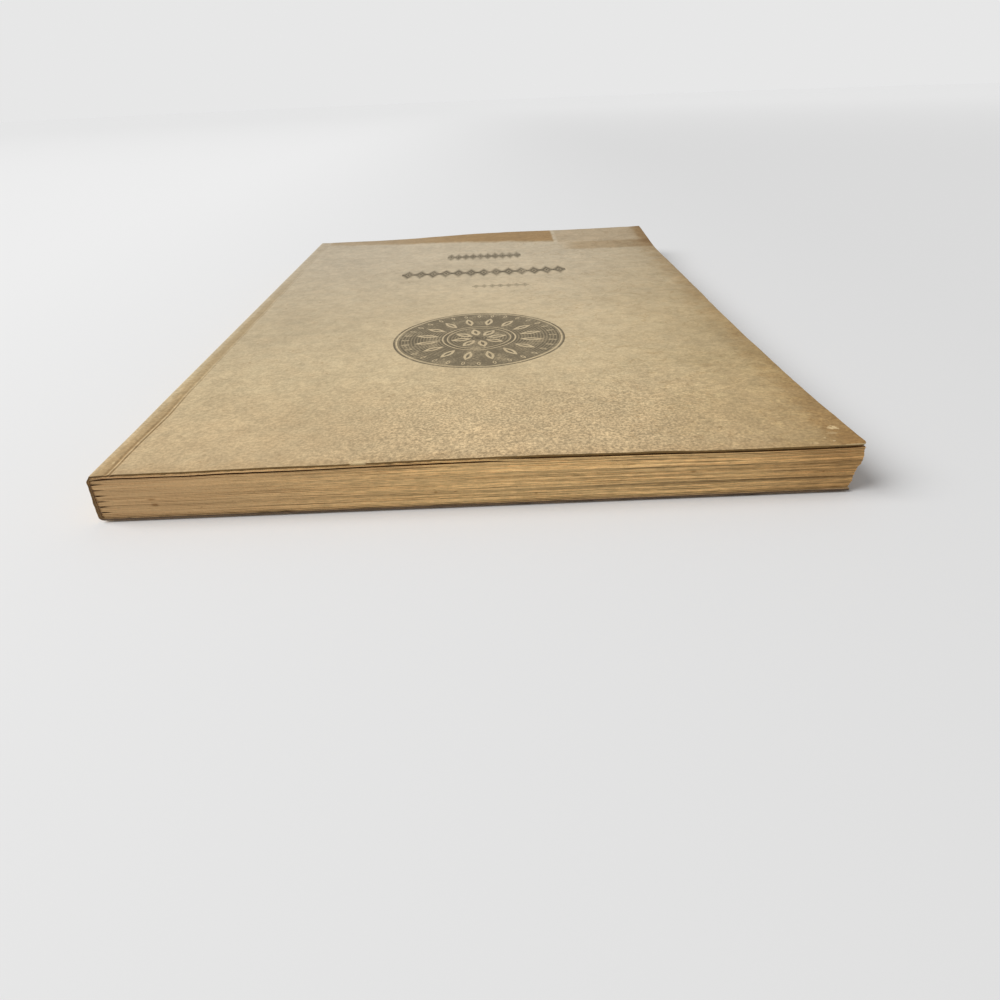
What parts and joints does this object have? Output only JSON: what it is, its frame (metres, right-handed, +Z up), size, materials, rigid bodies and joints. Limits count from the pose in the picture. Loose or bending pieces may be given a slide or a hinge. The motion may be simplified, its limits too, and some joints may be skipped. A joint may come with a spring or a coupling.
{
  "type": "paperback book",
  "caption": "Thin sewn paperback book lying closed, with a light card wrapper, folded sections and two covers that open on their creases.",
  "frame": {"origin": "under the middle of the closed book, on the surface that it lies on", "axes": "+X from the spine to the fore-edge, +Y from the tail to the head, +Z up through the pages from the back cover to the front cover"},
  "size_m": [0.1516, 0.23, 0.012],
  "materials": {
    "page_paper": "matte, aged, cream to brown at the edges",
    "thread": "matte unbleached thread",
    "glue": "brown dried animal glue",
    "cover_card": "matte, fibrous, mottled and toned with age"
  },
  "bodies": {
    "book_block": {"text_block": "page_paper", "sewing_thread": "thread", "spine_glue": "glue", "cover_spine": "cover_card"},
    "front": {"front_cover": "cover_card"},
    "back": {"back_cover": "cover_card"}
  },
  "joints": [
    {"name": "front_cover_hinge", "type": "hinge", "parent": "book_block", "child": "front", "pos_m": [-0.07075, 0, 0.00992], "axis": [0, -1, 0], "range_deg": [0, 178]},
    {"name": "back_cover_hinge", "type": "hinge", "parent": "book_block", "child": "back", "pos_m": [-0.07075, 0, 0], "axis": [0, 1, 0], "range_deg": [0, 180]}
  ]
}
